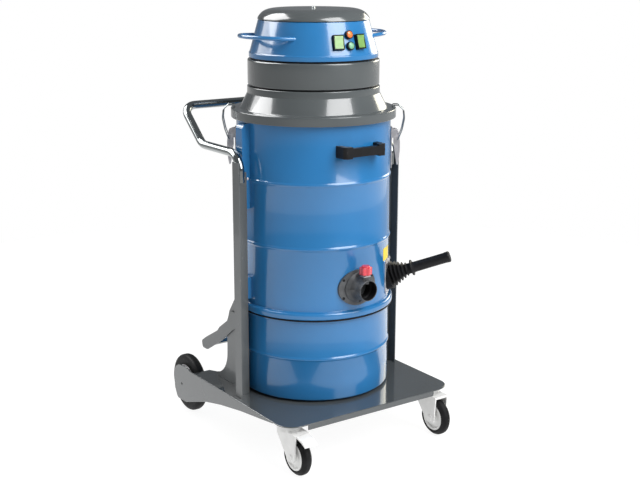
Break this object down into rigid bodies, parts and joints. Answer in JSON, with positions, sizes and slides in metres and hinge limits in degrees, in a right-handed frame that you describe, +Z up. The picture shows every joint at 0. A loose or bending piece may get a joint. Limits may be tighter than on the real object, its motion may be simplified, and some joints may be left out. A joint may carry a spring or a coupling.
{
  "type": "shop vacuum",
  "caption": "Upright industrial shop vacuum: steel drum on a wheeled trolley, motor head, inlet, filter shaker, lift lever, drop-down dust container and push handle.",
  "frame": {"origin": "bottom centre of the object's box, on the floor", "axes": "+Z up, -Y to the front (inlet, switches and drum handle), +X to the right seen from the front"},
  "size_m": [0.5314, 0.665, 1.125],
  "materials": {
    "blue": "glossy blue enamel",
    "grey": "glossy dark grey enamel",
    "steel": "satin slate powder coat",
    "chrome": "bright chrome",
    "zinc": "zinc plate",
    "cast": "dark casting",
    "rubber": "matte black",
    "tyre": "matte black",
    "plastic": "fine grained black",
    "nylon": "pale nylon",
    "red": "gloss red",
    "green": "clear green",
    "amber": "clear amber",
    "cloth": "woven filter cloth",
    "motor": "wound motor"
  },
  "bodies": {
    "machine": {"base_plate": "steel", "upright_left": "steel", "upright_right": "steel", "motor_plate": "steel", "rear_axle": "chrome", "push_handle": "chrome", "cap_knob": "chrome", "drum_handle": "plastic", "switch_bezel_left": "plastic", "switch_bezel_right": "plastic", "cable_gland": "plastic", "valve_body": "zinc", "shaker_flange": "zinc", "latch_base_left": "zinc", "latch_base_right": "zinc", "filter_ring": "zinc", "motor_can_left": "zinc", "motor_can_right": "zinc", "filter_chamber": "blue", "motor_housing": "blue", "head_handle_left": "blue", "head_handle_right": "blue", "head_skirt": "grey", "silencer_ring": "grey", "top_cap": "grey", "container_gasket": "rubber", "chamber_gasket": "rubber", "silencer_gasket": "rubber", "housing_gasket": "rubber", "inlet_nozzle": "cast", "lamp_green": "green", "lamp_amber": "amber", "star_filter": "cloth"},
    "lift_lever": {"lift_lever": "chrome"},
    "cradle": {"lift_cradle": "zinc"},
    "dust_container": {"container": "blue"},
    "shaker": {"shaker_lever": "zinc", "shaker_grip": "plastic", "shaker_boot": "rubber"},
    "valve": {"valve_knob": "red"},
    "brake": {"caster_brake_pedal": "nylon"},
    "latch_lever_left": {"latch_lever_left": "zinc"},
    "latch_bail_left": {"latch_bail_left": "chrome"},
    "rocker_left": {"switch_rocker_left": "green"},
    "caster_left": {"caster_fork_left": "nylon"},
    "caster_wheel_left": {"caster_rim_left": "nylon", "caster_tyre_left": "tyre"},
    "rear_wheel_left": {"rear_hub_left": "zinc", "rear_tyre_left": "tyre"},
    "rotor_left": {"motor_rotor_left": "motor"},
    "latch_lever_right": {"latch_lever_right": "zinc"},
    "latch_bail_right": {"latch_bail_right": "chrome"},
    "rocker_right": {"switch_rocker_right": "green"},
    "caster_right": {"caster_fork_right": "nylon"},
    "caster_wheel_right": {"caster_rim_right": "nylon", "caster_tyre_right": "tyre"},
    "rear_wheel_right": {"rear_hub_right": "zinc", "rear_tyre_right": "tyre"},
    "rotor_right": {"motor_rotor_right": "motor"}
  },
  "joints": [
    {"name": "lift_lever_turn", "type": "hinge", "parent": "machine", "child": "lift_lever", "pos_m": [0, 0.0375, 0.315], "axis": [1, 0, 0], "range_deg": [0, 50]},
    {"name": "cradle_drop", "type": "slide", "parent": "machine", "child": "cradle", "axis": [0, 0, 1], "range_m": [-0.0022, 0]},
    {"name": "container_pull", "type": "slide", "parent": "cradle", "child": "dust_container", "axis": [0, -1, 0], "range_m": [0, 0.3]},
    {"name": "latch_right_open", "type": "hinge", "parent": "machine", "child": "latch_lever_right", "pos_m": [0.17694, -0.13839, 0.803], "axis": [-0.5736, -0.8192, 0], "range_deg": [0, 50]},
    {"name": "latch_right_bail", "type": "hinge", "parent": "latch_lever_right", "child": "latch_bail_right", "pos_m": [0.17939, -0.14011, 0.786], "axis": [-0.5736, -0.8192, 0], "range_deg": [-80, 0]},
    {"name": "latch_left_open", "type": "hinge", "parent": "machine", "child": "latch_lever_left", "pos_m": [-0.17694, 0.10939, 0.803], "axis": [0.5736, 0.8192, 0], "range_deg": [0, 50]},
    {"name": "latch_left_bail", "type": "hinge", "parent": "latch_lever_left", "child": "latch_bail_left", "pos_m": [-0.17939, 0.11111, 0.786], "axis": [0.5736, 0.8192, 0], "range_deg": [-80, 0]},
    {"name": "shaker_rock", "type": "hinge", "parent": "machine", "child": "shaker", "pos_m": [0.14018, -0.15715, 0.429], "axis": [0.7133, 0.7009, 0], "range_deg": [-12, 12], "stiffness_Nm_per_rad": 8, "springref_deg": -1.15, "deforming": ["shaker_boot"]},
    {"name": "valve_turn", "type": "hinge", "parent": "machine", "child": "valve", "pos_m": [0, -0.2475, 0.4738], "axis": [0, 0, 1], "range_deg": [0, 90]},
    {"name": "rocker_left_press", "type": "hinge", "parent": "machine", "child": "rocker_left", "pos_m": [-0.03264, -0.17073, 1.04474], "axis": [-0.9789, 0.2045, 0], "range_deg": [0, 16]},
    {"name": "rocker_right_press", "type": "hinge", "parent": "machine", "child": "rocker_right", "pos_m": [0.03264, -0.17073, 1.04474], "axis": [-0.9789, -0.2045, 0], "range_deg": [0, 16]},
    {"name": "caster_left_swivel", "type": "hinge", "parent": "machine", "child": "caster_left", "pos_m": [-0.222, -0.2365, 0.1287], "axis": [0, 0, 1], "continuous": true},
    {"name": "caster_left_roll", "type": "hinge", "parent": "caster_left", "child": "caster_wheel_left", "pos_m": [-0.222, -0.2725, 0.05], "axis": [1, 0, 0], "continuous": true},
    {"name": "caster_right_swivel", "type": "hinge", "parent": "machine", "child": "caster_right", "pos_m": [0.222, -0.2365, 0.1287], "axis": [0, 0, 1], "continuous": true},
    {"name": "caster_right_roll", "type": "hinge", "parent": "caster_right", "child": "caster_wheel_right", "pos_m": [0.222, -0.2725, 0.05], "axis": [1, 0, 0], "continuous": true},
    {"name": "brake_press", "type": "hinge", "parent": "caster_left", "child": "brake", "pos_m": [-0.222, -0.296, 0.1095], "axis": [1, 0, 0], "range_deg": [0, 10]},
    {"name": "rear_left_roll", "type": "hinge", "parent": "machine", "child": "rear_wheel_left", "pos_m": [-0.238, 0.2525, 0.08], "axis": [1, 0, 0], "continuous": true},
    {"name": "rotor_left_spin", "type": "hinge", "parent": "machine", "child": "rotor_left", "pos_m": [-0.066, -0.0145, 1.04], "axis": [0, 0, 1], "continuous": true},
    {"name": "rear_right_roll", "type": "hinge", "parent": "machine", "child": "rear_wheel_right", "pos_m": [0.238, 0.2525, 0.08], "axis": [1, 0, 0], "continuous": true},
    {"name": "rotor_right_spin", "type": "hinge", "parent": "machine", "child": "rotor_right", "pos_m": [0.066, -0.0145, 1.04], "axis": [0, 0, 1], "continuous": true}
  ],
  "couplings": [
    {"joint": "cradle_drop", "follows": "lift_lever_turn", "m_per_rad": -0.00252},
    {"joint": "latch_right_bail", "follows": "latch_right_open", "ratio": -1.6},
    {"joint": "latch_left_bail", "follows": "latch_left_open", "ratio": -1.6}
  ]
}
